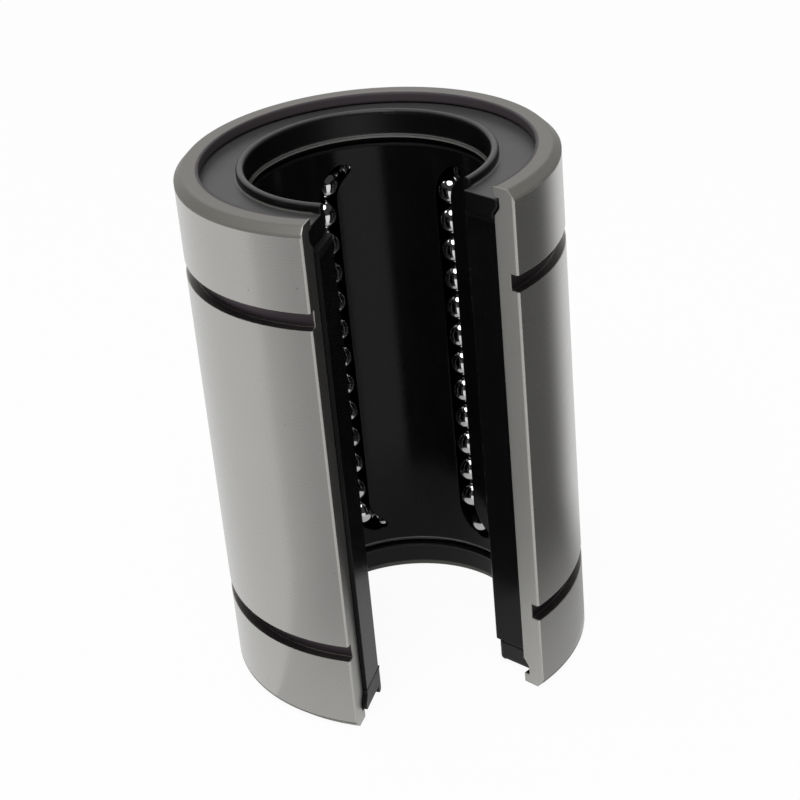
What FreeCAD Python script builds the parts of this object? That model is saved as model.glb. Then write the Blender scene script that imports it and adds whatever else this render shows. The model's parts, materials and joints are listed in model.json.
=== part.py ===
import FreeCAD, Part
import math
import os

import Sketcher

# Open-type linear ball bearing for a round shaft that is carried along its underside.
# The axis is +Z with the origin at mid-length, and the lengthwise slot opens towards -Y.
# A slotted steel sleeve holds a resin retainer, five endless ball circuits and two end seals.

# Driving sizes, in millimetres and degrees: cell alias, value, what it measures.
DRIVING_SIZES = (
    ("shaft_diameter", 25.0, "shaft that the loaded balls roll on"),
    ("ball_diameter", 3.5, "steel ball"),
    ("ball_gap", 0.03, "play between neighbouring balls"),
    ("race_gap", 0.03, "play between a ball and the steel race"),
    ("channel_gap", 0.12, "play between a ball and the retainer channel"),
    ("bore_gap", 0.2, "retainer bore to shaft, on radius"),
    ("race_depth", 0.45, "depth of the race groove in its land"),
    ("relief_depth", 1.37, "race floor to sleeve bore, on radius"),
    ("land_width", 3.1, "race land, across"),
    ("sleeve_wall", 2.317, "steel behind the return channels"),
    ("sleeve_length", 59.0, "over the two end faces"),
    ("slot_angle", 63.4, "opening of the sleeve"),
    ("insert_slot_angle", 64.2, "opening of the retainer and seals"),
    ("retainer_turn_angle", 2.0, "turn of the retainer's opening from the slot"),
    ("upper_turn_angle", -1.0, "turn of the upper seal from the slot"),
    ("lower_turn_angle", 2.0, "turn of the lower seal from the slot"),
    ("edge_chamfer", 0.8, "outer edge at each end of the sleeve"),
    ("slot_edge_break", 0.2, "outer edges of the sleeve along the slot"),
    ("bore_edge_break", 0.3, "bore edges of the retainer along the slot"),
    ("ring_groove_span", 41.0, "over the two retaining-ring grooves"),
    ("ring_groove_width", 1.85, "retaining-ring groove, along the axis"),
    ("ring_groove_depth", 1.0, "retaining-ring groove, on radius"),
    ("lip_height", 1.1, "sleeve lip above the snap groove"),
    ("snap_height", 2.0, "snap groove for the seal bead"),
    ("snap_slant", 0.9, "slanted inner side of the snap groove"),
    ("snap_depth", 0.7, "snap groove, on radius"),
    ("plate_recess", 1.25, "sleeve end face down to the seal plate"),
    ("seal_depth", 2.2, "seal plate down to its inner end"),
    ("bead_gap", 0.15, "play round the seal bead in its groove"),
    ("collar_height", 0.98, "seal collar above the plate"),
    ("collar_wall", 0.85, "seal collar, across"),
    ("collar_gap", 0.25, "collar bore to shaft, on radius"),
    ("lip_gap", 0.03, "wiping lip to shaft, on radius"),
    ("lip_depth", 2.1, "seal plate down to the wiping lip"),
    ("collar_trim_angle", 4.0, "collar and lip cut short at one side of the slot"),
    ("lip_slope", 0.3, "height of the lip's upper slope"),
    ("seat_gap", 0.1, "play of the retainer and seals in the sleeve"),
    ("end_gap", 0.1, "retainer to seal, along the axis"),
    ("end_recess_depth", 0.55, "recess for the lip in the retainer ends"),
    ("end_recess_height", 0.7, "recess for the lip, on radius"),
    ("recess_stop_angle", 5.0, "slot face to the end of the recess"),
    ("end_wall", 0.5, "least retainer wall beyond the ball turns"),
    ("bore_chamfer", 0.15, "retainer bore, at each end"),
    ("circuit_step_angle", 60.0, "from one ball circuit to the next"),
    ("circuit_lean_angle", -3.1, "turn of the ball circuits from the even layout"),
    ("rest_shift_1", 0.7, "how far circuit 1 has rolled at rest"),
    ("rest_shift_2", -1.2, "how far circuit 2 has rolled at rest"),
    ("rest_shift_3", 0.0, "how far circuit 3 has rolled at rest"),
    ("rest_shift_4", 1.1, "how far circuit 4 has rolled at rest"),
    ("rest_shift_5", -0.5, "how far circuit 5 has rolled at rest"),
)

CIRCUIT_COUNT = 5
TURN_BALLS = 3

# Distance under which two radii, or two volumes, count as the same.
TOUCH = 1e-3

# Sizes that follow from the driving ones: name and formula.
# Each circuit lies in the plane that touches the circle of loaded ball centres, so the balls
# climb away from the shaft as they turn, and come back along a line further out.
DERIVED_SIZES = (
    ("shaft_r", "sizes.shaft_diameter / 2"),
    ("ball_r", "sizes.ball_diameter / 2"),
    ("pitch", "sizes.ball_diameter + sizes.ball_gap"),
    ("turn_r", "pitch / (2 * sin(90 / %d))" % TURN_BALLS),
    ("turn_across", "2 * turn_r"),
    ("loaded_r", "shaft_r + ball_r"),
    ("return_r", "sqrt(loaded_r ^ 2 + turn_across ^ 2)"),
    ("circuit_span", "atan2(turn_across; loaded_r) / 1deg"),
    ("race_r", "ball_r + sizes.race_gap"),
    ("channel_r", "ball_r + sizes.channel_gap"),
    ("return_reach", "return_r + race_r"),
    ("outer_r", "return_reach + sizes.sleeve_wall"),
    ("relief_r", "loaded_r + race_r + sizes.relief_depth"),
    ("land_r", "loaded_r + race_r - sizes.race_depth"),
    ("land_half", "sizes.land_width / 2"),
    ("half_length", "sizes.sleeve_length / 2"),
    ("ring_groove_r", "outer_r - sizes.ring_groove_depth"),
    ("ring_groove_top", "sizes.ring_groove_span / 2"),
    ("ring_groove_foot", "ring_groove_top - sizes.ring_groove_width"),
    ("snap_r", "relief_r + sizes.snap_depth"),
    ("snap_top", "half_length - sizes.lip_height"),
    ("snap_foot", "snap_top - sizes.snap_height"),
    ("plate_z", "half_length - sizes.plate_recess"),
    ("seal_end_z", "plate_z - sizes.seal_depth"),
    ("seal_r", "relief_r - sizes.seat_gap"),
    ("bead_r", "snap_r - sizes.bead_gap"),
    ("bead_top", "snap_top - sizes.bead_gap"),
    ("bead_slant", "snap_foot + sizes.snap_slant + sizes.bead_gap"),
    ("bead_foot", "snap_foot + sizes.bead_gap"),
    ("collar_r", "shaft_r + sizes.collar_gap"),
    ("collar_outer_r", "collar_r + sizes.collar_wall"),
    ("collar_round_z", "plate_z + sizes.collar_height - sizes.collar_wall / 2"),
    ("lip_r", "shaft_r + sizes.lip_gap"),
    ("lip_z", "plate_z - sizes.lip_depth"),
    ("retainer_half", "seal_end_z - sizes.end_gap"),
    ("retainer_r", "relief_r - sizes.seat_gap"),
    ("bore_r", "shaft_r + sizes.bore_gap"),
    ("recess_r", "bore_r + sizes.end_recess_height"),
    ("recess_z", "retainer_half - sizes.end_recess_depth"),
    ("recess_opening", "sizes.insert_slot_angle + 2 * sizes.recess_stop_angle"),
    ("collar_opening", "sizes.insert_slot_angle + sizes.collar_trim_angle"),
    ("collar_turn", "sizes.collar_trim_angle / 2"),
    ("pocket_half", "land_half + sizes.seat_gap"),
    ("pocket_r", "land_r - sizes.seat_gap"),
    ("run_room", "2 * (recess_z - sizes.end_wall - channel_r - turn_r)"),
    ("loaded_count", "floor(run_room / pitch)"),
    ("run_half", "loaded_count * pitch / 2"),
    ("first_angle", "sizes.circuit_step_angle + sizes.circuit_lean_angle + circuit_span / 2"),
)

doc = FreeCAD.newDocument("linear_bearing")


def make_sizes():
    """Spreadsheet of the driving sizes, one alias to a row."""
    sheet = doc.addObject("Spreadsheet::Sheet", "sizes")
    for row, (alias, size, meaning) in enumerate(DRIVING_SIZES, start=1):
        sheet.set("A%d" % row, alias)
        sheet.set("B%d" % row, str(size))
        sheet.setAlias("B%d" % row, alias)
        sheet.set("C%d" % row, meaning)
    doc.recompute()
    return sheet


def make_layout():
    """Sizes worked out from the spreadsheet."""
    layout_set = doc.addObject("App::VarSet", "layout")
    for name, rule in DERIVED_SIZES:
        layout_set.addProperty("App::PropertyFloat", name)
        layout_set.setExpression(name, rule)
    doc.recompute()
    return layout_set


sizes = make_sizes()
layout = make_layout()
DRIVING_NAMES = [alias for alias, size, meaning in DRIVING_SIZES]


def split_sum(words):
    """Signed names of a sum of sizes, such as 'outer_r - edge_chamfer'."""
    sign = 1
    terms = []
    for word in words.split():
        if word in ("+", "-"):
            sign = 1 if word == "+" else -1
        else:
            terms.append((sign, word))
    return terms


def number(words, side=1):
    """Present value of a sum of sizes, on the plus or minus side of an axis."""
    total = 0.0
    for sign, word in split_sum(words):
        holder = sizes if word in DRIVING_NAMES else layout
        total += sign * float(getattr(holder, word))
    return side * total


def formula(words, side=1):
    """Expression for a sum of sizes, on the plus or minus side of an axis."""
    terms = []
    for sign, word in split_sum(words):
        holder = "sizes" if word in DRIVING_NAMES else "layout"
        terms.append("%s %s.%s" % ("+" if sign > 0 else "-", holder, word))
    return "%d * (0 %s)" % (side, " ".join(terms))


class Point:
    """Sketch point: a sum of sizes and a side for each direction, with no sum on an axis."""

    def __init__(self, across, along, across_side=1, along_side=1):
        self.across = across
        self.along = along
        self.across_side = across_side
        self.along_side = along_side

    def mirrored(self):
        return Point(self.across, self.along, self.across_side, -self.along_side)

    def vector(self):
        x = number(self.across, self.across_side)
        y = number(self.along, self.along_side)
        return FreeCAD.Vector(x, y, 0)


def origin_feature(body, role):
    """Plane or axis of a body's own origin."""
    for feature in body.Origin.OriginFeatures:
        if feature.Role == role:
            return feature
    raise ValueError(role)


def new_body(label):
    body = doc.addObject("PartDesign::Body", label)
    body.Label = label
    return body


def new_sketch(body, name, plane):
    sketch = body.newObject("Sketcher::SketchObject", name)
    sketch.AttachmentSupport = [(origin_feature(body, plane), "")]
    sketch.MapMode = "FlatFace"
    return sketch


def constrain(sketch, kind, element, vertex, words, side):
    """Ties one coordinate of a sketch point to a sum of sizes."""
    row = sketch.addConstraint(
        Sketcher.Constraint(kind, -1, 1, element, vertex, number(words, side)))
    sketch.setExpression("Constraints[%d]" % row, formula(words, side))


def place(sketch, element, vertex, point):
    """Ties both coordinates of a sketch point."""
    if point.across:
        constrain(sketch, "DistanceX", element, vertex, point.across, point.across_side)
    else:
        sketch.addConstraint(Sketcher.Constraint("PointOnObject", element, vertex, -2))
    constrain(sketch, "DistanceY", element, vertex, point.along, point.along_side)


def add_outline(sketch, points, arcs=()):
    """Closed outline through points. The stretch after a point listed in arcs is a half circle."""
    vectors = [point.vector() for point in points]
    count = len(points)
    for index in range(count):
        start = vectors[index]
        end = vectors[(index + 1) % count]
        if index in arcs:
            middle = (start + end) / 2
            circle = Part.Circle(middle, FreeCAD.Vector(0, 0, 1), (end - start).Length / 2)
            angle = math.atan2(start.y - middle.y, start.x - middle.x)
            sketch.addGeometry(Part.ArcOfCircle(circle, angle, angle + math.pi), False)
        else:
            sketch.addGeometry(Part.LineSegment(start, end), False)
    for index, point in enumerate(points):
        before = (index - 1) % count
        sketch.addConstraint(Sketcher.Constraint("Coincident", before, 2, index, 1))
        place(sketch, index, 1, point)
        if index in arcs:
            constrain(sketch, "DistanceY", index, 3, point.along, point.along_side)


def add_ring(body, name, points, opening, arcs=(), turn="", side=1, kind="PartDesign::Revolution"):
    """Slotted ring or groove: a section turned about Z, open over an angle about -Y.

    The ring is turned the other way to its body by the angle named in turn, on a side of +1 or -1.
    """
    sketch = new_sketch(body, name + "_section", "YZ_Plane")
    if turn:
        sketch.AttachmentOffset = FreeCAD.Placement(
            FreeCAD.Vector(), FreeCAD.Rotation(FreeCAD.Vector(0, 1, 0), -number(turn, side)))
        sketch.setExpression("AttachmentOffset.Rotation.Angle", formula(turn, -side))
    add_outline(sketch, points, arcs)
    ring = body.newObject(kind, name)
    ring.Profile = sketch
    ring.ReferenceAxis = (sketch, ["V_Axis"])
    ring.Midplane = True
    ring.setExpression("Angle", "360 - (%s)" % formula(opening))
    body.Tip = ring
    return ring


def break_slot_edges(body, name, ring, radius, size):
    """Chamfers the straight edges of a slotted ring that lie at one radius."""
    doc.recompute()
    edges = []
    for row, edge in enumerate(ring.Shape.Edges, start=1):
        ends = [vertex.Point for vertex in edge.Vertexes]
        straight = len(ends) == 2 and isinstance(edge.Curve, Part.Line)
        if straight and all(abs(math.hypot(end.x, end.y) - number(radius)) < TOUCH for end in ends):
            edges.append("Edge%d" % row)
    chamfer = body.newObject("PartDesign::Chamfer", name)
    chamfer.Base = (ring, edges)
    chamfer.setExpression("Size", "sizes." + size)
    body.Tip = chamfer
    return chamfer


def add_bar(body, name, kind, points, length):
    """Straight pad or pocket along Z, even about mid-length."""
    sketch = new_sketch(body, name + "_section", "XY_Plane")
    add_outline(sketch, points)
    bar = body.newObject(kind, name)
    bar.Profile = sketch
    bar.SideType = "Symmetric"
    bar.setExpression("Length", length)
    body.Tip = bar
    return bar


def add_circuit_channel(body, name, radius):
    """Endless round channel along the ball centres of the circuit that faces -Y."""
    path = new_sketch(body, name + "_path", "XZ_Plane")
    path.setExpression("AttachmentOffset.Base.z", "layout.loaded_r")
    add_outline(path, (
        Point("", "run_half", 1, -1),
        Point("", "run_half"),
        Point("turn_across", "run_half", -1),
        Point("turn_across", "run_half", -1, -1)), arcs=(1, 3))
    section = new_sketch(body, name + "_section", "XY_Plane")
    middle = FreeCAD.Vector(0, -number("loaded_r"), 0)
    section.addGeometry(Part.Circle(middle, FreeCAD.Vector(0, 0, 1), number(radius)), False)
    place(section, 0, 3, Point("", "loaded_r", 1, -1))
    row = section.addConstraint(Sketcher.Constraint("Radius", 0, number(radius)))
    section.setExpression("Constraints[%d]" % row, formula(radius))
    channel = body.newObject("PartDesign::SubtractivePipe", name)
    channel.Profile = section
    channel.Spine = (path, ["Edge1", "Edge2", "Edge3", "Edge4"])
    body.Tip = channel
    return channel


def repeat_circuits(body, name, features):
    """Copies of the features at every circuit."""
    pattern = body.newObject("PartDesign::PolarPattern", name)
    pattern.Originals = features
    pattern.Axis = (origin_feature(body, "Z_Axis"), [""])
    pattern.Occurrences = CIRCUIT_COUNT
    pattern.setExpression("Angle", "%d * sizes.circuit_step_angle" % (CIRCUIT_COUNT - 1))
    body.Tip = pattern
    return pattern


def mirror_ends(body, name, features):
    """Copies of the features at the other end."""
    mirror = body.newObject("PartDesign::Mirrored", name)
    mirror.Originals = features
    mirror.MirrorPlane = (origin_feature(body, "XY_Plane"), [""])
    body.Tip = mirror
    return mirror


def face_first_circuit(body):
    """Turns a body that is drawn with its first circuit facing -Y into place."""
    body.Placement = FreeCAD.Placement(
        FreeCAD.Vector(), FreeCAD.Rotation(FreeCAD.Vector(0, 0, 1), number("first_angle")))
    body.setExpression("Placement.Rotation.Angle", "layout.first_angle")


def both_ends(points):
    """Outline of a section that is the same at both ends, from its upper half."""
    return list(points) + [point.mirrored() for point in reversed(points)]


def build_outer_sleeve():
    body = new_body("outer_sleeve")
    ring = add_ring(body, "sleeve_ring", both_ends((
        Point("outer_r", "ring_groove_foot"),
        Point("ring_groove_r", "ring_groove_foot"),
        Point("ring_groove_r", "ring_groove_top"),
        Point("outer_r", "ring_groove_top"),
        Point("outer_r", "half_length - edge_chamfer"),
        Point("outer_r - edge_chamfer", "half_length"),
        Point("relief_r", "half_length"),
        Point("relief_r", "snap_top"),
        Point("snap_r", "snap_top"),
        Point("snap_r", "snap_foot + snap_slant"),
        Point("relief_r", "snap_foot"))), "slot_angle", turn="first_angle")
    edges = break_slot_edges(body, "sleeve_edges", ring, "outer_r", "slot_edge_break")
    land = add_bar(body, "race_land", "PartDesign::Pad", (
        Point("land_half", "land_r", 1, -1),
        Point("land_half", "land_r", -1, -1),
        Point("land_half", "return_reach", -1, -1),
        Point("land_half", "return_reach", 1, -1)), "2 * layout.run_half")
    lands = repeat_circuits(body, "race_lands", [land])
    race = add_circuit_channel(body, "ball_race", "race_r")
    races = repeat_circuits(body, "ball_races", [race])
    face_first_circuit(body)
    return body, (ring, edges, land, lands, race, races)


def build_ball_retainer():
    body = new_body("ball_retainer")
    opening_turn = "first_angle - retainer_turn_angle"
    ring = add_ring(body, "retainer_ring", both_ends((
        Point("retainer_r", "retainer_half"),
        Point("bore_r", "retainer_half"))), "insert_slot_angle", turn=opening_turn)
    edges = break_slot_edges(body, "retainer_edges", ring, "bore_r", "bore_edge_break")
    recess = add_ring(body, "lip_recess", (
        Point("shaft_r", "recess_z - bore_chamfer"),
        Point("bore_r", "recess_z - bore_chamfer"),
        Point("bore_r + bore_chamfer", "recess_z"),
        Point("recess_r", "recess_z"),
        Point("recess_r", "plate_z"),
        Point("shaft_r", "plate_z")), "recess_opening", turn=opening_turn, kind="PartDesign::Groove")
    recesses = mirror_ends(body, "lip_recesses", [recess])
    pocket = add_bar(body, "land_pocket", "PartDesign::Pocket", (
        Point("pocket_half", "pocket_r", 1, -1),
        Point("pocket_half", "pocket_r", -1, -1),
        Point("pocket_half", "outer_r", -1, -1),
        Point("pocket_half", "outer_r", 1, -1)), "2 * (layout.run_half + sizes.seat_gap)")
    pockets = repeat_circuits(body, "land_pockets", [pocket])
    channel = add_circuit_channel(body, "ball_channel", "channel_r")
    channels = repeat_circuits(body, "ball_channels", [channel])
    face_first_circuit(body)
    return body, (ring, edges, recess, recesses, pocket, pockets, channel, channels)


def build_end_seal(label, turn, turned_over):
    """Plate with a bead that snaps into the sleeve, and a collar with a wiping lip round the bore.

    The collar and lip stop a little short of the slot, on the same side at both ends.
    """
    body = new_body(label)
    side = 1 if turned_over else -1
    plate = add_ring(body, label + "_plate", (
        Point("collar_outer_r", "seal_end_z"),
        Point("seal_r", "seal_end_z"),
        Point("seal_r", "bead_foot"),
        Point("bead_r", "bead_slant"),
        Point("bead_r", "bead_top - bead_gap"),
        Point("bead_r - bead_gap", "plate_z"),
        Point("collar_outer_r", "plate_z")), "insert_slot_angle", turn=turn, side=side)
    collar_top = 2
    collar = add_ring(body, label + "_collar", (
        Point("lip_r", "lip_z"),
        Point("collar_outer_r", "seal_end_z"),
        Point("collar_outer_r", "collar_round_z"),
        Point("collar_r", "collar_round_z"),
        Point("collar_r", "lip_z + lip_slope")), "collar_opening",
        arcs=(collar_top,), turn=turn + " + collar_turn", side=side)
    if turned_over:
        body.Placement = FreeCAD.Placement(
            FreeCAD.Vector(), FreeCAD.Rotation(FreeCAD.Vector(0, 1, 0), 180))
    return body, (plate, collar)


def add_ball(name, across, along):
    """Ball in the plane of the circuit that faces -Y."""
    ball = doc.addObject("Part::Sphere", name)
    ball.setExpression("Radius", "layout.ball_r")
    ball.setExpression("Placement.Base.x", across)
    ball.setExpression("Placement.Base.y", "-layout.loaded_r")
    ball.setExpression("Placement.Base.z", along)
    return ball


def group_balls(label, balls, circuit):
    """One node of separate balls, turned to its circuit."""
    group = doc.addObject("Part::Compound", label)
    group.Label = label
    group.Links = balls
    angle = number("first_angle") + (circuit - 1) * number("circuit_step_angle")
    group.Placement = FreeCAD.Placement(
        FreeCAD.Vector(), FreeCAD.Rotation(FreeCAD.Vector(0, 0, 1), angle))
    group.setExpression(
        "Placement.Rotation.Angle",
        "layout.first_angle + %d * sizes.circuit_step_angle" % (circuit - 1))
    return group


def build_ball_rows(circuit):
    """Loaded row next to the shaft and return row further out, rolling opposite ways."""
    shift = "sizes.rest_shift_%d" % circuit
    loaded = []
    returning = []
    for index in range(int(layout.loaded_count)):
        step = "(%d - (layout.loaded_count - 1) / 2) * layout.pitch" % index
        name = "%d_%d" % (circuit, index + 1)
        loaded.append(add_ball("loaded_ball_" + name, "0", "%s + %s" % (step, shift)))
        returning.append(add_ball(
            "return_ball_" + name, "-layout.turn_across", "%s - %s" % (step, shift)))
    return [
        group_balls("loaded_balls_%d" % circuit, loaded, circuit),
        group_balls("return_balls_%d" % circuit, returning, circuit)]


def build_ball_turns(circuit):
    """Balls going round the upper and the lower end of a circuit."""
    groups = []
    for end, side in (("upper", 1), ("lower", -1)):
        balls = []
        for index in range(TURN_BALLS):
            angle = "(%d * 180 * %g + 180 / %d * sizes.rest_shift_%d / layout.pitch)" % (
                side, (index + 0.5) / TURN_BALLS, TURN_BALLS, circuit)
            across = "layout.turn_r * (cos(%s) - 1)" % angle
            along = "%d * layout.run_half + layout.turn_r * sin(%s)" % (side, angle)
            name = "%s_turn_ball_%d_%d" % (end, circuit, index + 1)
            balls.append(add_ball(name, across, along))
        groups.append(group_balls("%s_turn_balls_%d" % (end, circuit), balls, circuit))
    return groups


def check_model(nodes, histories):
    """Stops on a failed object, a broken shape or a feature that changed nothing."""
    for item in doc.Objects:
        if "Invalid" in item.State or "Error" in item.State:
            raise RuntimeError("failed: " + item.Label)
    for node in nodes:
        if node.Shape.isNull() or not node.Shape.isValid():
            raise RuntimeError("bad shape: " + node.Label)
    for history in histories:
        for before, after in zip(history, history[1:]):
            change = after.Shape.Volume - before.Shape.Volume
            if abs(change) < TOUCH:
                raise RuntimeError("no change: " + after.Label)


def write_steps(nodes):
    os.makedirs("parts", exist_ok=True)
    for node in nodes:
        node.Shape.exportStep("parts/%s.step" % node.Label)


def main():
    built = [
        build_outer_sleeve(),
        build_ball_retainer(),
        build_end_seal("upper_end_seal", "upper_turn_angle", False),
        build_end_seal("lower_end_seal", "lower_turn_angle", True)]
    nodes = [body for body, history in built]
    for circuit in range(1, CIRCUIT_COUNT + 1):
        nodes += build_ball_rows(circuit)
        nodes += build_ball_turns(circuit)
    doc.recompute()
    check_model(nodes, [history for body, history in built])
    write_steps(nodes)


main()
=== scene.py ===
import json
import math

import bpy
from bpy.props import FloatProperty, FloatVectorProperty, IntProperty, PointerProperty
from mathutils import Matrix, Vector


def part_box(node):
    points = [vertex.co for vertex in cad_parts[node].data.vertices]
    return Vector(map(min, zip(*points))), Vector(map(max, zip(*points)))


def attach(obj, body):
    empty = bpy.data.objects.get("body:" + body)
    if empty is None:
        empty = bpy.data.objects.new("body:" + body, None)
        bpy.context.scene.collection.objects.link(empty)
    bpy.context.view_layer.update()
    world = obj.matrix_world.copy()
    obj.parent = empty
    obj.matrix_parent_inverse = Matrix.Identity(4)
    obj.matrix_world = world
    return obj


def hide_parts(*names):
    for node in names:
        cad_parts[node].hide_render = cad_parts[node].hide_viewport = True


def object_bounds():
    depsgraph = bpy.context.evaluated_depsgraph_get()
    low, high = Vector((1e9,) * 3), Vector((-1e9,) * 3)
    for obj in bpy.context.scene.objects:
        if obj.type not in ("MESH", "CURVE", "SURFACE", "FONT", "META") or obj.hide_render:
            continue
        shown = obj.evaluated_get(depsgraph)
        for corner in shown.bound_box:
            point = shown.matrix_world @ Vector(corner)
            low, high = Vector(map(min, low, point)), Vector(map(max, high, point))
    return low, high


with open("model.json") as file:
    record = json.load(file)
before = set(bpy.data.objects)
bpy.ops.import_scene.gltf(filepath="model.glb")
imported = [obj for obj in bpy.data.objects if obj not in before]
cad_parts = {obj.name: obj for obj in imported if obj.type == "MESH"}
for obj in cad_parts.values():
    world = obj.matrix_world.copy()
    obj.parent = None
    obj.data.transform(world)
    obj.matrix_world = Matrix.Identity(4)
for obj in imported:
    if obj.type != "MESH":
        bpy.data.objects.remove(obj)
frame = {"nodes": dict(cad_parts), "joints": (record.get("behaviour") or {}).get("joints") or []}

bl_info = {
    "name": "Open Linear Bearing",
    "version": (1, 0, 0),
    "blender": (4, 5, 0),
    "location": "3D View > Sidebar > Bearing",
    "description": "Finishes, balls and studio for an open-type linear ball bearing",
    "category": "Object",
}

# Everything is in metres, in the frame of the solids: the bore axis is +Z and the slot opens to -Y.
# Angles round the bore count from the middle of the slot, towards +X.
MM = 0.001
CAD_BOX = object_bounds()
GROUND = CAD_BOX[0][2]
CIRCUITS = 5
TURN_BALLS = 3
FIT_SLACK = 0.05 * MM
WHITE = (1.0, 1.0, 1.0, 1.0)
BLACK = (0.0, 0.0, 0.0, 1.0)


def half_height(node):
    """Distance from the bearing's middle to the farther end of a node."""
    low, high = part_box(node)
    return max(high[2], -low[2])


def outer_radius(node):
    """Radius of a node that lies round the bore axis."""
    low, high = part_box(node)
    return max(high[0], high[1])


def joint_named(name):
    """The frame's joint of that name."""
    for joint in frame["joints"]:
        if joint["name"] == name:
            return joint
    raise ValueError(name)


def ball_pitch():
    """Distance from one ball to the next, which is also the travel of a row."""
    low, high = joint_named("loaded_roll_1")["range_m"]
    return high - low


class SleeveSettings(bpy.types.PropertyGroup):
    """Finish of the steel sleeve"""

    ground_color: FloatVectorProperty(
        name="Ground Steel", description="Outside and slot faces, ground bright",
        subtype="COLOR", size=3, default=(0.405, 0.40, 0.385), min=0.0, max=1.0)
    end_color: FloatVectorProperty(
        name="End Faces", description="Turned end faces and bevels",
        subtype="COLOR", size=3, default=(0.155, 0.149, 0.134), min=0.0, max=1.0)
    scale_color: FloatVectorProperty(
        name="Hardening Scale", description="Dark skin left in the ring grooves and inside",
        subtype="COLOR", size=3, default=(0.07, 0.058, 0.066), min=0.0, max=1.0)
    edge_wear_and_highlight_color: FloatVectorProperty(
        name="Worn Edges", description="Oil-stained metal where the edges have rubbed",
        subtype="COLOR", size=3, default=(0.28, 0.27, 0.19), min=0.0, max=1.0)
    edge_radius: FloatProperty(
        name="Edge Radius", description="Rounding of the edges along the slot and grooves",
        subtype="DISTANCE", default=0.12 * MM)
    end_radius: FloatProperty(
        name="End Radius", description="Rounding of the edges at the two ends",
        subtype="DISTANCE", default=0.45 * MM)
    slot_angle: FloatProperty(
        name="Slot Angle", description="Opening of the sleeve",
        subtype="ANGLE", default=math.radians(63.4))
    groove_span: FloatProperty(
        name="Groove Span", description="Over the two retaining-ring grooves",
        subtype="DISTANCE", default=41.0 * MM)
    groove_width: FloatProperty(
        name="Groove Width", description="One retaining-ring groove",
        subtype="DISTANCE", default=1.85 * MM)
    bevel: FloatProperty(
        name="End Bevel", description="Bevel at the outer edge of each end",
        subtype="DISTANCE", default=0.8 * MM)


class RetainerSettings(bpy.types.PropertyGroup):
    """Finish of the moulded ball retainer"""

    resin_color: FloatVectorProperty(
        name="Resin", description="Black moulded resin",
        subtype="COLOR", size=3, default=(0.0042, 0.0042, 0.0047), min=0.0, max=1.0)
    # The paler edge colour at the lower end is a painted highlight, for the light that its rounded edge
    # catches.
    edge_wear_and_highlight_color: FloatVectorProperty(
        name="Painted Edge Highlight", description="Paler resin along the rubbed edge at the lower end",
        subtype="COLOR", size=3, default=(0.24, 0.24, 0.23), min=0.0, max=1.0)
    upper_radius: FloatProperty(
        name="Upper Edge Radius", description="Moulded rounding of the edges in the upper half",
        subtype="DISTANCE", default=0.06 * MM)
    lower_radius: FloatProperty(
        name="Lower Edge Radius", description="Moulded and rubbed rounding of the edges in the lower half",
        subtype="DISTANCE", default=0.22 * MM)
    rim_width: FloatProperty(
        name="Rim Width", description="Height of the rim at each end of the bore",
        subtype="DISTANCE", default=0.32 * MM)
    end_recess: FloatProperty(
        name="End Recess", description="Depth of the recess round the bore at each end",
        subtype="DISTANCE", default=0.55 * MM)


class SealSettings(bpy.types.PropertyGroup):
    """Finish of the end seals"""

    rubber_color: FloatVectorProperty(
        name="Rubber", description="Black rubber of the walls and cut ends",
        subtype="COLOR", size=3, default=(0.004, 0.004, 0.0045), min=0.0, max=1.0)
    bloom_color: FloatVectorProperty(
        name="Bloom", description="Faint grey bloom on the faces that look outwards along the bore",
        subtype="COLOR", size=3, default=(0.050, 0.050, 0.051), min=0.0, max=1.0)
    # The paler edges and lip of the seals are painted highlights, for the light that the rounded rubber
    # catches.
    edge_wear_and_highlight_color: FloatVectorProperty(
        name="Edges", description="Paler rubber along the rubbed edges",
        subtype="COLOR", size=3, default=(0.16, 0.16, 0.145), min=0.0, max=1.0)
    lip_highlight_color: FloatVectorProperty(
        name="Lip", description="Paler rubber along the rubbed edge of the wiping lip",
        subtype="COLOR", size=3, default=(0.3, 0.3, 0.285), min=0.0, max=1.0)
    edge_radius: FloatProperty(
        name="Edge Radius", description="Moulded rounding of the edges",
        subtype="DISTANCE", default=0.35 * MM)
    # The paler foot of the lower seal is a painted highlight too.
    rim_width: FloatProperty(
        name="Rim Width", description="Height of the rubbed foot of the lower seal",
        subtype="DISTANCE", default=0.8 * MM)
    outer_height: FloatProperty(
        name="Outer Height", description="From the bearing's middle to the foot of the seals' outer faces",
        subtype="DISTANCE", default=27.5 * MM)


class BallSettings(bpy.types.PropertyGroup):
    """Balls of the five circuits"""

    steel_color: FloatVectorProperty(
        name="Ball Steel", description="Polished ball steel",
        subtype="COLOR", size=3, default=(0.66, 0.66, 0.655), min=0.0, max=1.0)
    segments: IntProperty(
        name="Segments", description="Faces round each ball", default=32, min=12, max=64)
    rings: IntProperty(
        name="Rings", description="Faces from pole to pole of each ball", default=20, min=8, max=48)


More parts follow.
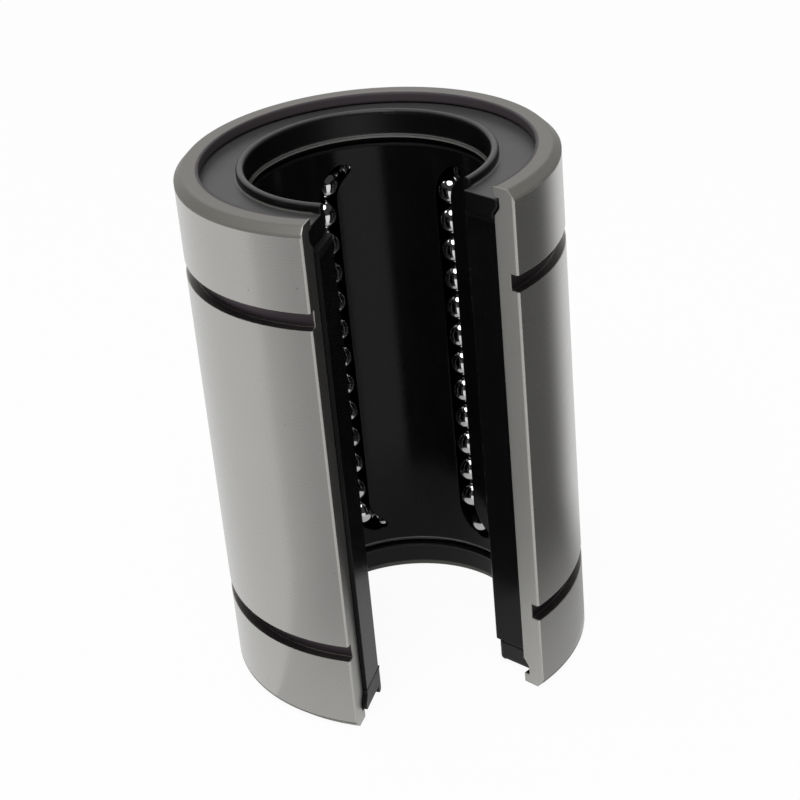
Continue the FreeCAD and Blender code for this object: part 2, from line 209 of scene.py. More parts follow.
class StageSettings(bpy.types.PropertyGroup):
    """Camera, lamps and floor"""

    azimuth: FloatProperty(
        name="Azimuth", description="Camera's turn about the bore axis from -Y towards +X",
        subtype="ANGLE", default=math.radians(-11.785))
    elevation: FloatProperty(
        name="Elevation", description="Camera above the horizon",
        subtype="ANGLE", default=math.radians(27.95))
    roll: FloatProperty(
        name="Roll", description="Lean of the camera about its line of sight",
        subtype="ANGLE", default=math.radians(-5.368))
    distance: FloatProperty(
        name="Distance", description="Camera to its target", subtype="DISTANCE", default=224.567 * MM)
    aside: FloatProperty(
        name="Aside", description="Target to the right of the bearing's middle",
        subtype="DISTANCE", default=1.054 * MM)
    above: FloatProperty(
        name="Above", description="Target above the bearing's middle, across the line of sight",
        subtype="DISTANCE", default=0.269 * MM)
    lens: FloatProperty(
        name="Lens", description="Focal length on a 36 mm sensor, in millimetres",
        unit="CAMERA", default=92.3)
    floor_color: FloatVectorProperty(
        name="Floor", description="Pale paper floor",
        subtype="COLOR", size=3, default=(0.88, 0.88, 0.87), min=0.0, max=1.0)
    floor_reach: FloatProperty(
        name="Floor Reach", description="From the middle of the floor to each side",
        subtype="DISTANCE", default=3.0)
    sky_level: FloatProperty(
        name="Sky Level", description="Soft light from all round, where 1 is white",
        default=0.42, min=0.0)


SETTING_GROUPS = (
    ("bearing_sleeve", SleeveSettings),
    ("bearing_retainer", RetainerSettings),
    ("bearing_seals", SealSettings),
    ("bearing_balls", BallSettings),
    ("bearing_stage", StageSettings),
)


class Graph:
    """Adds nodes to one tree and joins them."""

    def __init__(self, tree):
        self.tree = tree

    def feed(self, socket, source):
        """Links a socket to another, or sets its value."""
        if isinstance(source, bpy.types.NodeSocket):
            self.tree.links.new(source, socket)
        else:
            socket.default_value = source

    def add(self, kind, inputs=None, **settings):
        """New node with its settings, and its inputs by name or place."""
        node = self.tree.nodes.new(kind)
        for name, setting in settings.items():
            setattr(node, name, setting)
        for name, source in (inputs or {}).items():
            self.feed(node.inputs[name], source)
        return node

    def math(self, operation, *terms):
        node = self.add("ShaderNodeMath", dict(enumerate(terms)), operation=operation)
        return node.outputs[0]

    def times(self, first, second):
        return self.math("MULTIPLY", first, second)

    def larger(self, first, second):
        return self.math("MAXIMUM", first, second)

    def inverse(self, mask):
        return self.math("SUBTRACT", 1.0, mask)

    def total(self, base, *parts):
        """A base value and a share of each mask, from pairs of mask and share."""
        for mask, share in parts:
            base = self.math("MULTIPLY_ADD", mask, share, base)
        return base

    def rise(self, value, low, high, bottom=0.0, top=1.0):
        """Smooth step from bottom at low to top at high."""
        node = self.add(
            "ShaderNodeMapRange",
            {"Value": value, "From Min": low, "From Max": high, "To Min": bottom, "To Max": top},
            interpolation_type="SMOOTHSTEP")
        return node.outputs["Result"]

    def above(self, value, edge, soft):
        """Mask of what lies above an edge, blurred by soft to either side."""
        return self.rise(value, edge - soft, edge + soft)

    def below(self, value, edge, soft):
        """Mask of what lies below an edge, blurred by soft to either side."""
        return self.rise(value, edge + soft, edge - soft)

    def between(self, value, low, high, soft):
        """Mask of what lies between two edges."""
        return self.times(self.above(value, low, soft), self.below(value, high, soft))

    def blend(self, factor, first, second):
        """Colour between two colours."""
        node = self.add("ShaderNodeMix", {0: factor, 6: first, 7: second}, data_type="RGBA")
        return node.outputs[2]

    def lerp(self, factor, first, second):
        """Value between two values."""
        node = self.add("ShaderNodeMix", {0: factor, 2: first, 3: second}, data_type="FLOAT")
        return node.outputs[0]

    def split(self, vector):
        """The three parts of a vector."""
        return self.add("ShaderNodeSeparateXYZ", {0: vector}).outputs

    def noise(self, vector, scale, detail, roughness):
        node = self.add(
            "ShaderNodeTexNoise",
            {"Vector": vector, "Scale": scale, "Detail": detail, "Roughness": roughness})
        return node.outputs[0]


def new_group(name, inputs, outputs):
    """Empty shader group with named sockets: (name, kind, default) and (name, kind)."""
    tree = bpy.data.node_groups.new(name, "ShaderNodeTree")
    for label, kind, default in inputs:
        socket = tree.interface.new_socket(label, in_out="INPUT", socket_type=kind)
        if default is not None:
            socket.default_value = default
    for label, kind in outputs:
        tree.interface.new_socket(label, in_out="OUTPUT", socket_type=kind)
    graph = Graph(tree)
    source = graph.add("NodeGroupInput").outputs
    target = graph.add("NodeGroupOutput").inputs
    return graph, source, target


def make_round_group(name):
    """Radius, height and angle about the bore axis, the angle counted from the slot."""
    graph, source, target = new_group(
        name,
        (("Position", "NodeSocketVector", None),),
        (("Radius", "NodeSocketFloat"), ("Height", "NodeSocketFloat"), ("Angle", "NodeSocketFloat")))
    x, y, z = graph.split(source["Position"])
    square = graph.math("ADD", graph.times(x, x), graph.times(y, y))
    graph.feed(target["Radius"], graph.math("SQRT", square))
    graph.feed(target["Height"], z)
    graph.feed(target["Angle"], graph.math("ARCTAN2", x, graph.times(y, -1.0)))
    return graph.tree


def make_grain_group(name):
    """Fine uneven grain and broad clouds for a worked or moulded surface."""
    graph, source, target = new_group(
        name,
        (("Position", "NodeSocketVector", None), ("Grain Size", "NodeSocketFloat", 0.2 * MM),
         ("Cloud Size", "NodeSocketFloat", 6.0 * MM)),
        (("Grain", "NodeSocketFloat"), ("Cloud", "NodeSocketFloat")))
    fine = graph.math("DIVIDE", 1.0, source["Grain Size"])
    broad = graph.math("DIVIDE", 1.0, source["Cloud Size"])
    graph.feed(target["Grain"], graph.noise(source["Position"], fine, detail=3.0, roughness=0.6))
    graph.feed(target["Cloud"], graph.noise(source["Position"], broad, detail=2.0, roughness=0.5))
    return graph.tree


def make_lines_group(name):
    """Fine scratches that run one way: long across, close together along."""
    graph, source, target = new_group(
        name,
        (("Across", "NodeSocketFloat", 0.0), ("Along", "NodeSocketFloat", 0.0),
         ("Line Length", "NodeSocketFloat", 8.0 * MM), ("Line Width", "NodeSocketFloat", 0.12 * MM)),
        (("Lines", "NodeSocketFloat"),))
    across = graph.math("DIVIDE", source["Across"], source["Line Length"])
    along = graph.math("DIVIDE", source["Along"], source["Line Width"])
    place = graph.add("ShaderNodeCombineXYZ", {"X": across, "Y": along}).outputs[0]
    graph.feed(target["Lines"], graph.noise(place, 1.0, detail=3.0, roughness=0.65))
    return graph.tree


def make_speck_group(name):
    """Scattered specks of dust and small pits, in about a third of the cells."""
    graph, source, target = new_group(
        name,
        (("Position", "NodeSocketVector", None), ("Spacing", "NodeSocketFloat", 1.5 * MM),
         ("Size", "NodeSocketFloat", 0.12)),
        (("Specks", "NodeSocketFloat"),))
    core_share = 0.4
    scale = graph.math("DIVIDE", 1.0, source["Spacing"])
    cells = graph.add("ShaderNodeTexVoronoi", {"Vector": source["Position"], "Scale": scale}).outputs
    lot = graph.split(cells["Color"])[0]
    chosen = graph.above(lot, edge=0.65, soft=0.05)
    spot = graph.rise(cells["Distance"], source["Size"], graph.times(source["Size"], core_share))
    graph.feed(target["Specks"], graph.times(chosen, spot))
    return graph.tree


def make_edge_group(name):
    """Normal rounded over the edges, and a mask of the edges themselves."""
    graph, source, target = new_group(
        name,
        (("Radius", "NodeSocketFloat", 0.2 * MM),),
        (("Rounded", "NodeSocketVector"), ("Edge", "NodeSocketFloat")))
    flat_likeness = 0.995
    edge_likeness = 0.94
    rounded = graph.add("ShaderNodeBevel", {"Radius": source["Radius"]}, samples=6).outputs["Normal"]
    flat = graph.add("ShaderNodeNewGeometry").outputs["Normal"]
    likeness = graph.add("ShaderNodeVectorMath", {0: rounded, 1: flat}, operation="DOT_PRODUCT")
    graph.feed(target["Rounded"], rounded)
    graph.feed(target["Edge"], graph.rise(likeness.outputs["Value"], flat_likeness, edge_likeness))
    return graph.tree


GROUP_MAKERS = {
    "round_coordinates": make_round_group,
    "surface_grain": make_grain_group,
    "grinding_lines": make_lines_group,
    "specks": make_speck_group,
    "worn_edges": make_edge_group,
}


def use_group(graph, name, inputs):
    """Outputs of a shared shader group, which is built at its first use."""
    tree = bpy.data.node_groups.get(name) or GROUP_MAKERS[name](name)
    return graph.add("ShaderNodeGroup", inputs, node_tree=tree).outputs


def new_material(name):
    """Material with its graph, its shader and the place on the piece."""
    material = bpy.data.materials.new(name)
    material.use_nodes = True
    graph = Graph(material.node_tree)
    shader = material.node_tree.nodes["Principled BSDF"]
    position = graph.add("ShaderNodeTexCoord").outputs["Object"]
    return material, graph, shader, position


def solid(color, share=1.0):
    """Opaque colour, at a share of its brightness."""
    return (share * color[0], share * color[1], share * color[2], 1.0)


def clouded(graph, cloud, color, low, high):
    """Colour that wanders with the clouds between two shares of its brightness."""
    return graph.blend(cloud, solid(color, low), solid(color, high))


def specked(graph, position, color, spacing, size, share, tone):
    """Colour with scattered specks of another tone."""
    specks = use_group(graph, "specks", {"Position": position, "Spacing": spacing, "Size": size})["Specks"]
    return graph.blend(graph.times(specks, share), color, solid(tone))


def relief(graph, shader, height, depth, normal):
    """Bumps the shader's normal by a height between 0 and 1, over a depth in metres."""
    bump = graph.add("ShaderNodeBump", {
        "Strength": 1.0, "Distance": depth, "Height": height, "Normal": normal})
    graph.feed(shader.inputs["Normal"], bump.outputs["Normal"])


def sleeve_zones(graph, settings, around):
    """Masks of the sleeve's slot faces, its dark scale and its turned ends."""
    slot_margin = 0.006
    skin_depth = 0.085 * MM
    wall_depth = 2.3 * MM
    end_margin = 0.2 * MM
    outer = outer_radius("outer_sleeve")
    level = graph.math("ABSOLUTE", around["Height"])
    turn = graph.math("ABSOLUTE", around["Angle"])
    slot_face = graph.below(turn, settings.slot_angle / 2 + slot_margin, soft=0.002)
    elsewhere = graph.inverse(slot_face)
    groove_top = settings.groove_span / 2
    at_groove = graph.between(level, groove_top - settings.groove_width, groove_top, soft=0.03 * MM)
    groove = graph.times(at_groove, graph.below(around["Radius"], outer - skin_depth, soft=0.035 * MM))
    inside = graph.below(around["Radius"], outer - wall_depth, soft=0.1 * MM)
    scale = graph.times(graph.larger(groove, inside), elsewhere)
    end_start = half_height("outer_sleeve") - settings.bevel - end_margin
    end = graph.times(graph.above(level, end_start, soft=0.05 * MM), elsewhere)
    return slot_face, scale, end


def sleeve_lines(graph, around, slot_face, end):
    """Grinding lines: round the outside and the ends, and lengthwise on the slot faces."""
    height, radius = around["Height"], around["Radius"]
    arc = graph.times(around["Angle"], outer_radius("outer_sleeve"))
    fine_line = 0.10 * MM
    hoop_lines = use_group(graph, "grinding_lines", {"Across": arc, "Along": height})["Lines"]
    end_lines = use_group(graph, "grinding_lines", {
        "Across": arc, "Along": radius, "Line Width": fine_line})["Lines"]
    slot_lines = use_group(graph, "grinding_lines", {
        "Across": height, "Along": radius, "Line Length": 5.0 * MM, "Line Width": fine_line})["Lines"]
    return graph.lerp(slot_face, graph.lerp(end, hoop_lines, end_lines), slot_lines)


def steel_finish(settings):
    """Ground outside and slot faces, turned ends, and dark scale in the grooves and bore."""
    material, graph, shader, position = new_material("ground_steel_finish")
    around = use_group(graph, "round_coordinates", {"Position": position})
    slot_face, scale, end = sleeve_zones(graph, settings, around)
    lines = sleeve_lines(graph, around, slot_face, end)
    grain = use_group(graph, "surface_grain", {"Position": position})
    edges = use_group(graph, "worn_edges", {
        "Radius": graph.lerp(end, settings.edge_radius, settings.end_radius)})

    cloud_share = 0.35
    wear_share = 0.8
    cloud = graph.times(grain["Cloud"], cloud_share)
    color = clouded(graph, cloud, settings.ground_color, low=1.0, high=0.86)
    color = graph.blend(end, color, solid(settings.end_color))
    color = graph.blend(scale, color, solid(settings.scale_color))
    color = specked(
        graph, position, color, spacing=2.2 * MM, size=0.07, share=0.5, tone=(0.12, 0.11, 0.10))
    worn = graph.times(edges["Edge"], graph.inverse(end))
    worn = graph.times(worn, graph.above(grain["Grain"], edge=0.475, soft=0.125))
    color = graph.blend(graph.times(worn, wear_share), color, solid(settings.edge_wear_and_highlight_color))
    graph.feed(shader.inputs["Base Color"], color)

    # Oil dulls the ends. The slot face on the +X side is dulled too, so that it shows lighter than the other
    # one: a lit copy of the ground steel, painted light.
    end_film = 0.85
    lit_face_dulling = 0.4
    lit_slot_face = graph.times(slot_face, graph.above(around["Angle"], edge=0.05, soft=0.05))
    film = graph.larger(graph.times(end, end_film), graph.times(lit_slot_face, lit_face_dulling))
    graph.feed(shader.inputs["Metallic"], graph.inverse(film))
    rough = graph.total(0.2, (lines, 0.12), (scale, 0.16), (slot_face, 0.16), (end, 0.22))
    graph.feed(shader.inputs["Roughness"], rough)
    relief(graph, shader, lines, 0.002 * MM, edges["Rounded"])
    return material


def resin_finish(settings):
    """Black moulded resin with a faint grain, a little dust and a paler edge at the lower end, which is a
    painted highlight.
    """
    material, graph, shader, position = new_material("retainer_resin_finish")
    around = use_group(graph, "round_coordinates", {"Position": position})
    grain = use_group(graph, "surface_grain", {
        "Position": position, "Grain Size": 0.35 * MM, "Cloud Size": 5.0 * MM})
    edges = use_group(graph, "worn_edges", {
        "Radius": graph.rise(
            around["Height"], 1.0 * MM, -1.0 * MM, settings.upper_radius, settings.lower_radius)})

    rim_soft = 0.05 * MM
    rim = half_height("ball_retainer") - settings.end_recess - settings.rim_width + rim_soft
    upper_rim = graph.above(around["Height"], rim, rim_soft)
    lower_rim = graph.below(around["Height"], -rim, rim_soft)
    turn = graph.math("ABSOLUTE", around["Angle"])
    # Painted highlight: a paler band along the lower rim, away from the slot.
    rubbed = graph.times(lower_rim, graph.above(turn, math.radians(37), math.radians(1)))

    color = clouded(graph, grain["Cloud"], settings.resin_color, low=0.7, high=1.4)
    color = specked(
        graph, position, color, spacing=1.4 * MM, size=0.05, share=0.25, tone=(0.12, 0.115, 0.11))
    graph.feed(shader.inputs["Base Color"], graph.blend(rubbed, color, solid(settings.edge_wear_and_highlight_color)))
    graph.feed(shader.inputs["Roughness"], graph.total(0.12, (grain["Cloud"], 0.08), (upper_rim, 0.5)))
    shader.inputs["Specular IOR Level"].default_value = 0.155
    relief(graph, shader, grain["Grain"], 0.006 * MM, edges["Rounded"])
    return material


def painted_edge_highlights(graph, settings, around, edges, outer_end):
    """Mask of the edges with a painted highlight: the upper seal's, and the lower seal's outer ones and its
    foot.
    """
    foot_soft = 0.1 * MM
    foot = settings.rim_width - half_height("lower_end_seal") - foot_soft
    rim = graph.larger(edges["Edge"], graph.below(around["Height"], foot, foot_soft))
    upper_half = graph.above(around["Height"], edge=0.5 * MM, soft=0.5 * MM)
    turn = graph.math("ABSOLUTE", around["Angle"])
    off_slot = graph.above(turn, math.radians(36.5), math.radians(1.5))
    return graph.times(rim, graph.times(graph.larger(upper_half, outer_end), off_slot))


def rubber_finish(settings):
    """Black moulded rubber with a grey bloom on the faces that look outwards along the bore, and painted
    highlights along its edges.
    """
    material, graph, shader, position = new_material("seal_rubber_finish")
    around = use_group(graph, "round_coordinates", {"Position": position})
    grain = use_group(graph, "surface_grain", {
        "Position": position, "Grain Size": 0.18 * MM, "Cloud Size": 4.0 * MM})
    edges = use_group(graph, "worn_edges", {"Radius": settings.edge_radius})
    level = graph.math("ABSOLUTE", around["Height"])
    outer_end = graph.above(level, settings.outer_height, soft=0.1 * MM)
    rubbed = painted_edge_highlights(graph, settings, around, edges, outer_end)
    normal = graph.add("ShaderNodeTexCoord").outputs["Normal"]
    facing = graph.math("ABSOLUTE", graph.split(normal)[2])
    outer_face = graph.times(graph.above(facing, edge=0.675, soft=0.225), outer_end)

    highlight_share = 0.8
    bloom = clouded(graph, grain["Cloud"], settings.bloom_color, low=0.82, high=1.18)
    color = graph.blend(outer_face, solid(settings.rubber_color), bloom)
    # Painted highlight: paler rubber along the edges, the wiping lip and the lower seal's foot.
    highlight_tone = graph.blend(outer_end, solid(settings.lip_highlight_color), solid(settings.edge_wear_and_highlight_color))
    color = graph.blend(graph.times(rubbed, highlight_share), color, highlight_tone)
    color = specked(
        graph, position, color, spacing=1.1 * MM, size=0.06, share=0.3, tone=(0.3, 0.29, 0.27))
    graph.feed(shader.inputs["Base Color"], color)
    graph.feed(shader.inputs["Roughness"], graph.total(0.26, (grain["Grain"], 0.2), (rubbed, -0.18)))
    shader.inputs["Specular IOR Level"].default_value = 0.25
    relief(graph, shader, grain["Grain"], 0.014 * MM, edges["Rounded"])
    return material


def ball_finish(settings):
    """Polished steel with a thin, uneven film of oil."""
    material, graph, shader, position = new_material("ball_steel_finish")
    cloud = use_group(graph, "surface_grain", {"Position": position, "Cloud Size": 1.6 * MM})["Cloud"]
    color = clouded(graph, cloud, settings.steel_color, low=1.0, high=0.9)
    graph.feed(shader.inputs["Base Color"], color)
    shader.inputs["Metallic"].default_value = 1.0
    graph.feed(shader.inputs["Roughness"], graph.total(0.05, (cloud, 0.05)))
    return material


def make_ball_tree():
    """Balls set along a line, or round a turn, one to each step."""
    tree = bpy.data.node_groups.new("ball_row", "GeometryNodeTree")
    tree.interface.new_socket("Geometry", in_out="OUTPUT", socket_type="NodeSocketGeometry")
    for label, kind in (
            ("Ball Count", "NodeSocketInt"), ("Ball Radius", "NodeSocketFloat"),
            ("Segments", "NodeSocketInt"), ("Rings", "NodeSocketInt"),
            ("First Ball", "NodeSocketVector"), ("Ball Step", "NodeSocketVector"),
            ("Turn Centre", "NodeSocketVector"), ("Turn Axis", "NodeSocketVector"),
            ("Turn Start", "NodeSocketFloat"), ("Turn Step", "NodeSocketFloat"),
            ("Finish", "NodeSocketMaterial")):
        tree.interface.new_socket(label, in_out="INPUT", socket_type=kind)
    graph = Graph(tree)
    source = graph.add("NodeGroupInput").outputs
    target = graph.add("NodeGroupOutput").inputs
    index = graph.add("GeometryNodeInputIndex").outputs[0]
    along = graph.add(
        "ShaderNodeVectorMath", {0: source["Ball Step"], "Scale": index}, operation="SCALE")
    place = graph.add(
        "ShaderNodeVectorMath", {0: source["First Ball"], 1: along.outputs[0]}, operation="ADD")
    angle = graph.math("MULTIPLY_ADD", index, source["Turn Step"], source["Turn Start"])
    turned = graph.add("ShaderNodeVectorRotate", {
        "Vector": place.outputs[0], "Center": source["Turn Centre"], "Axis": source["Turn Axis"],
        "Angle": angle})
    points = graph.add("GeometryNodePoints", {"Count": source["Ball Count"]})
    spread = graph.add("GeometryNodeSetPosition", {
        "Geometry": points.outputs[0], "Position": turned.outputs[0]})
    ball = graph.add("GeometryNodeMeshUVSphere", {
        "Segments": source["Segments"], "Rings": source["Rings"], "Radius": source["Ball Radius"]})
    smooth = graph.add("GeometryNodeSetShadeSmooth", {"Geometry": ball.outputs["Mesh"]})
    placed = graph.add("GeometryNodeInstanceOnPoints", {
        "Points": spread.outputs[0], "Instance": smooth.outputs[0]})
    real = graph.add("GeometryNodeRealizeInstances", {"Geometry": placed.outputs[0]})
    finished = graph.add("GeometryNodeSetMaterial", {
        "Geometry": real.outputs[0], "Material": source["Finish"]})
    graph.feed(target["Geometry"], finished.outputs[0])
    return tree


def set_modifier_inputs(modifier, inputs):
    """Sets a modifier's inputs by their names in the tree."""
    for item in modifier.node_group.interface.items_tree:
        if item.item_type == "SOCKET" and item.in_out == "INPUT":
            modifier[item.identifier] = inputs[item.name]


def bake_row(name, tree, inputs):
    """Plain mesh object from the tree's result."""
    scratch = bpy.data.objects.new(name + "_rule", bpy.data.meshes.new(name + "_rule"))
    bpy.context.scene.collection.objects.link(scratch)
    modifier = scratch.modifiers.new("balls", "NODES")
    modifier.node_group = tree
    set_modifier_inputs(modifier, inputs)
    graph = bpy.context.evaluated_depsgraph_get()
    mesh = bpy.data.meshes.new_from_object(scratch.evaluated_get(graph))
    mesh.name = name
    bpy.data.objects.remove(scratch)
    piece = bpy.data.objects.new(name, mesh)
    bpy.context.scene.collection.objects.link(piece)
    return piece


def check_fit(piece, node):
    """Stops the script where a piece doesn't lie where its node does."""
    corners = [vertex.co for vertex in piece.data.vertices]
    low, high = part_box(node)
    for axis in range(3):
        ends = [corner[axis] for corner in corners]
        if abs(min(ends) - low[axis]) > FIT_SLACK or abs(max(ends) - high[axis]) > FIT_SLACK:
            raise RuntimeError("%s lies off its node" % piece.name)


def row_layout(node, pitch, radius):
    """Straight row of balls, from the box of its node."""
    low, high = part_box(node)
    first = Vector(((low[0] + high[0]) / 2, (low[1] + high[1]) / 2, low[2] + radius))
    return {
        "Ball Count": round((high[2] - low[2] - 2 * radius) / pitch) + 1,
        "First Ball": first, "Ball Step": Vector((0, 0, pitch)),
        "Turn Centre": Vector(), "Turn Axis": Vector((0, 0, 1)), "Turn Start": 0.0, "Turn Step": 0.0}


def turn_layout(circuit, end, side, pitch):
    """Balls going round one end of a circuit, from the hinge of their body."""
    hinge = joint_named("%s_turn_roll_%d" % (end, circuit))
    low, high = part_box("loaded_balls_%d" % circuit)
    centre = Vector(hinge["pos_m"])
    rolled = (low[2] + high[2]) / 2
    step = math.pi / TURN_BALLS
    return {
        "Ball Count": TURN_BALLS,
        "First Ball": Vector(((low[0] + high[0]) / 2, (low[1] + high[1]) / 2, centre.z)),
        "Ball Step": Vector(), "Turn Centre": centre, "Turn Axis": Vector(hinge["axis"]),
        "Turn Start": step * (side / 2 + rolled / pitch), "Turn Step": side * step}


def circuit_groups(circuit, pitch, radius):
    """Body, node and layout of each group of balls in one circuit."""
    groups = []
    for row in ("loaded", "return"):
        node = "%s_balls_%d" % (row, circuit)
        groups.append(("%s_row_%d" % (row, circuit), node, row_layout(node, pitch, radius)))
    for end, side in (("upper", 1), ("lower", -1)):
        node = "%s_turn_balls_%d" % (end, circuit)
        groups.append(("%s_turn_%d" % (end, circuit), node, turn_layout(circuit, end, side, pitch)))
    return groups


def dress(node, material):
    """Puts a material on a node of the frame."""
    frame["nodes"][node].material_slots[0].material = material


class BEARING_OT_finish_sleeve(bpy.types.Operator):
    """Give the outer sleeve its ground steel"""

    bl_idname = "bearing.finish_sleeve"
    bl_label = "Finish Outer Sleeve"

    def execute(self, context):
        dress("outer_sleeve", steel_finish(context.scene.bearing_sleeve))
        return {"FINISHED"}


class BEARING_OT_finish_retainer(bpy.types.Operator):
    """Give the ball retainer its black resin"""

    bl_idname = "bearing.finish_retainer"
    bl_label = "Finish Ball Retainer"

    def execute(self, context):
        dress("ball_retainer", resin_finish(context.scene.bearing_retainer))
        return {"FINISHED"}


class BEARING_OT_finish_seals(bpy.types.Operator):
    """Give both end seals their rubber"""

    bl_idname = "bearing.finish_seals"
    bl_label = "Finish End Seals"

    def execute(self, context):
        rubber = rubber_finish(context.scene.bearing_seals)
        for node in ("upper_end_seal", "lower_end_seal"):
            dress(node, rubber)
        return {"FINISHED"}


class BEARING_OT_build_balls(bpy.types.Operator):
    """Lay the balls of every circuit in their rows and turns"""

    bl_idname = "bearing.build_balls"
    bl_label = "Build Balls"

    def execute(self, context):
        settings = context.scene.bearing_balls
        tree = make_ball_tree()
        pitch = ball_pitch()
        low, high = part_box("loaded_balls_1")
        radius = (high[0] - low[0]) / 2
        shared = {
            "Ball Radius": radius, "Segments": settings.segments, "Rings": settings.rings,
            "Finish": ball_finish(settings)}
        for circuit in range(1, CIRCUITS + 1):
            for body, node, layout in circuit_groups(circuit, pitch, radius):
                piece = bake_row("polished_%s" % node, tree, {**shared, **layout})
                check_fit(piece, node)
                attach(piece, body)
                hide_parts(node)
        return {"FINISHED"}


def outward(azimuth, elevation):
    """Direction from the bearing's middle, the azimuth counted from -Y towards +X."""
    flat = math.cos(elevation)
    return Vector((math.sin(azimuth) * flat, -math.cos(azimuth) * flat, math.sin(elevation)))


def add_camera(settings):
    """Camera of the photograph, leaning by its roll."""
    back = outward(settings.azimuth, settings.elevation)
    level = Vector((math.cos(settings.azimuth), math.sin(settings.azimuth), 0))
    up = back.cross(level)
    right = math.cos(settings.roll) * level + math.sin(settings.roll) * up
    upright = math.cos(settings.roll) * up - math.sin(settings.roll) * level
    data = bpy.data.cameras.new("photo_camera")
    data.lens = settings.lens
    data.sensor_width = 36.0
    data.clip_start = 5 * MM
    camera = bpy.data.objects.new("photo_camera", data)
    bpy.context.scene.collection.objects.link(camera)
    camera.matrix_world = Matrix((right, upright, back)).transposed().to_4x4()
    camera.location = settings.aside * level + settings.above * up + settings.distance * back
    bpy.context.scene.camera = camera


def add_lamp(name, azimuth, elevation, distance, size, power):
    """Round soft lamp that faces the bearing's middle, its angles in degrees."""
    data = bpy.data.lights.new(name, "AREA")
    data.shape = "DISK"
    data.size = size
    data.energy = power
    lamp = bpy.data.objects.new(name, data)
    bpy.context.scene.collection.objects.link(lamp)
    out = outward(math.radians(azimuth), math.radians(elevation))
    lamp.location = distance * out
    lamp.rotation_euler = out.to_track_quat("Z", "Y").to_euler()


def background_seen(graph):
    """1 where a ray sees the white background: from the camera, in a reflection or through glass."""
    path = graph.add("ShaderNodeLightPath").outputs
    mirrored = graph.larger(path["Is Glossy Ray"], path["Is Transmission Ray"])
    return graph.larger(path["Is Camera Ray"], mirrored)


def new_stage_mesh(name, corners, faces, material):
    """Piece of the stage, which isn't part of the bearing."""
    mesh = bpy.data.meshes.new(name)
    mesh.from_pydata(corners, [], faces)
    mesh.materials.append(material)
    piece = bpy.data.objects.new(name, mesh)
    bpy.context.scene.collection.objects.link(piece)
    return piece


def floor_finish(settings):
    """Pale paper that the camera sees as white, and reflections see dimmer inside the bore, a painted shade
    of the bearing's shadow.
    """
    white_level = 0.95
    painted_bore_shade = 0.4
    bore_floor = 12 * MM
    open_floor = 21 * MM
    material, graph, shader, position = new_material("pale_floor")
    shade = use_group(graph, "surface_grain", {"Position": position, "Grain Size": 0.5 * MM})["Grain"]
    color = clouded(graph, shade, settings.floor_color, low=1.0, high=0.97)
    graph.feed(shader.inputs["Base Color"], color)
    shader.inputs["Roughness"].default_value = 0.9
    shader.inputs["Specular IOR Level"].default_value = 0.0
    reach = use_group(graph, "round_coordinates", {"Position": position})["Radius"]
    # Painted shade: inside the bore, reflections see the floor at a lower level, for the bearing's shadow on
    # it.
    mirrored = graph.rise(reach, bore_floor, open_floor, painted_bore_shade, 1.0)
    path = graph.add("ShaderNodeLightPath").outputs
    level = graph.times(graph.lerp(path["Is Camera Ray"], mirrored, 1.0), white_level)
    seen = graph.times(background_seen(graph), level)
    glow = graph.add("ShaderNodeEmission", {"Color": WHITE, "Strength": 1.0})
    mixed = graph.add("ShaderNodeMixShader", {0: seen, 1: shader.outputs[0], 2: glow.outputs[0]})
    output = material.node_tree.nodes["Material Output"]
    graph.feed(output.inputs["Surface"], mixed.outputs[0])
    return material


def add_floor(settings):
    """Wide pale floor under the bearing, white to the camera except in the shadow."""
    reach = settings.floor_reach
    corners = [(x * reach, y * reach, GROUND) for x, y in ((-1, -1), (1, -1), (1, 1), (-1, 1))]
    new_stage_mesh("floor", corners, [(0, 1, 2, 3)], floor_finish(settings))


def add_world(settings):
    """Soft even light, with a white background."""
    world = bpy.data.worlds.new("studio")
    world.use_nodes = True
    graph = Graph(world.node_tree)
    sky = world.node_tree.nodes["Background"]
    sky.inputs["Color"].default_value = WHITE
    graph.feed(sky.inputs["Strength"], graph.lerp(background_seen(graph), settings.sky_level, 1.0))
    bpy.context.scene.world = world


def screen_finish(name, levels, ramp, foot_level, foot, shoulder):
    """Glowing grey, from one level to another round the bore, and at its own level at the foot."""
    material, graph, shader, position = new_material(name)
    around = use_group(graph, "round_coordinates", {"Position": position})
    across = graph.rise(around["Angle"], math.radians(ramp[0]), math.radians(ramp[1]))
    shade = graph.blend(across, solid(WHITE, levels[0]), solid(WHITE, levels[1]))
    upward = graph.rise(around["Height"], foot, shoulder)
    graph.feed(shader.inputs["Emission Color"], graph.blend(upward, solid(WHITE, foot_level), shade))
    shader.inputs["Emission Strength"].default_value = 1.0
    shader.inputs["Base Color"].default_value = BLACK
    shader.inputs["Specular IOR Level"].default_value = 0.0
    return material


def add_screen(name, profile, span, levels, ramp, foot_level):
    """Curved studio screen that only reflections see.

    Its profile is points of (distance from the bore axis, height), swept over a span of angles in
    degrees. Its grey goes from the first level to the second over the angles of the ramp.
    """
    steps = 24
    corners = []
    for step in range(steps + 1):
        angle = math.radians(span[0] + (span[1] - span[0]) * step / steps)
        corners += [(reach * math.sin(angle), -reach * math.cos(angle), height) for reach, height in profile]
    row = len(profile)
    faces = []
    for step in range(steps):
        for edge in range(row - 1):
            first = step * row + edge
            faces.append((first, first + row, first + row + 1, first + 1))
    material = screen_finish(name, levels, ramp, foot_level, foot=profile[0][1], shoulder=profile[1][1])
    screen = new_stage_mesh(name, corners, faces, material)
    screen.visible_camera = False
    screen.visible_diffuse = False
    screen.visible_shadow = False
    screen.visible_transmission = False


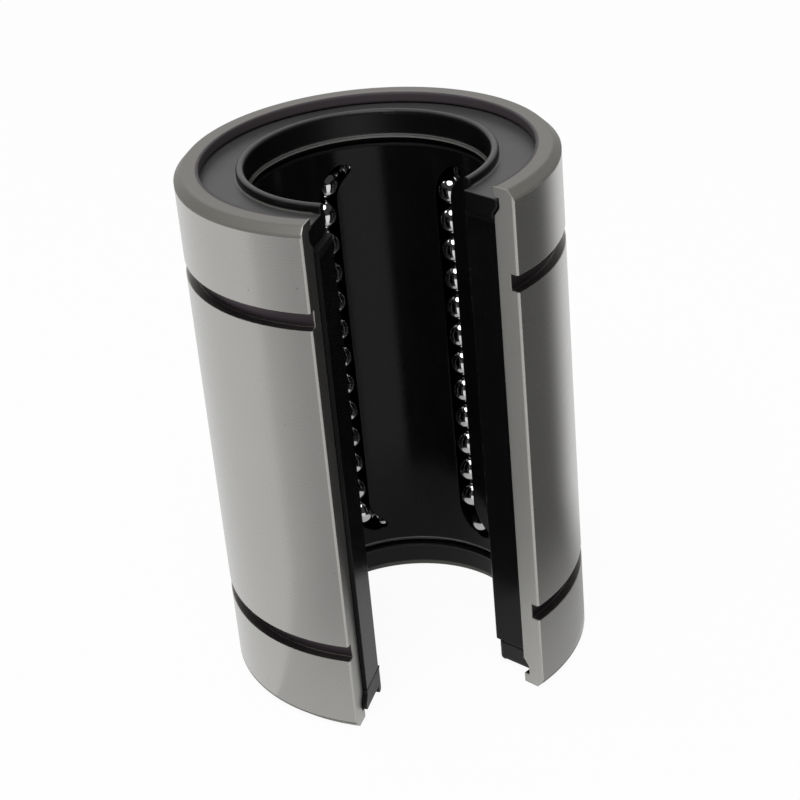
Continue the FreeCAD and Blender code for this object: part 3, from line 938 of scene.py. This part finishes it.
class BEARING_OT_build_stage(bpy.types.Operator):
    """Set up the floor, lamps and camera"""

    bl_idname = "bearing.build_stage"
    bl_label = "Build Stage"

    def execute(self, context):
        settings = context.scene.bearing_stage
        add_floor(settings)
        add_world(settings)
        add_lamp("ceiling_lamp", azimuth=-30, elevation=62, distance=0.9, size=0.62, power=5.0)
        add_lamp("side_lamp", azimuth=-107, elevation=46, distance=0.9, size=0.2, power=0.3)
        # Painted shade: the dark screen glows dark where the sleeve's +X side reflects the floor, for the
        # shadow there. Both near screens glow at their foot level, a painted shade of the floor round the
        # bearing's foot.
        near = ((20.5 * MM, GROUND), (34 * MM, -20 * MM), (34 * MM, 26 * MM))
        add_screen(
            "painted_shadow_screen", near, span=(33, 104), levels=(0.16, 1.0), ramp=(72, 102), foot_level=0.55)
        add_screen(
            "grey_screen", near, span=(-66, -33), levels=(0.76, 0.56), ramp=(-66, -44), foot_level=0.8)
        dome = ((1.5, GROUND), (1.5, 0.4), (1.3, 0.9), (0.9, 1.25), (0.3, 1.42), (0.0, 1.45))
        add_screen(
            "dim_room", dome, span=(-150, 140), levels=(0.05, 0.7), ramp=(80, 140), foot_level=0.05)
        add_camera(settings)
        context.scene.view_settings.view_transform = "Standard"
        return {"FINISHED"}


OPERATORS = (
    BEARING_OT_finish_sleeve,
    BEARING_OT_finish_retainer,
    BEARING_OT_finish_seals,
    BEARING_OT_build_balls,
    BEARING_OT_build_stage,
)


class BEARING_PT_panel(bpy.types.Panel):
    """Lists the bearing's pieces and their settings"""

    bl_idname = "BEARING_PT_panel"
    bl_label = "Open Linear Bearing"
    bl_space_type = "VIEW_3D"
    bl_region_type = "UI"
    bl_category = "Bearing"

    def draw(self, context):
        for operator, (attribute, group) in zip(OPERATORS, SETTING_GROUPS):
            box = self.layout.box()
            box.operator(operator.bl_idname)
            settings = getattr(context.scene, attribute)
            for name in group.__annotations__:
                box.prop(settings, name)


def register():
    for attribute, group in SETTING_GROUPS:
        bpy.utils.register_class(group)
        setattr(bpy.types.Scene, attribute, PointerProperty(type=group))
    for operator in OPERATORS:
        bpy.utils.register_class(operator)
    bpy.utils.register_class(BEARING_PT_panel)


def unregister():
    bpy.utils.unregister_class(BEARING_PT_panel)
    for operator in reversed(OPERATORS):
        bpy.utils.unregister_class(operator)
    for attribute, group in reversed(SETTING_GROUPS):
        delattr(bpy.types.Scene, attribute)
        bpy.utils.unregister_class(group)


def main():
    register()
    bpy.ops.bearing.finish_sleeve()
    bpy.ops.bearing.finish_retainer()
    bpy.ops.bearing.finish_seals()
    bpy.ops.bearing.build_balls()
    bpy.ops.bearing.build_stage()


if __name__ == "__main__":
    main()
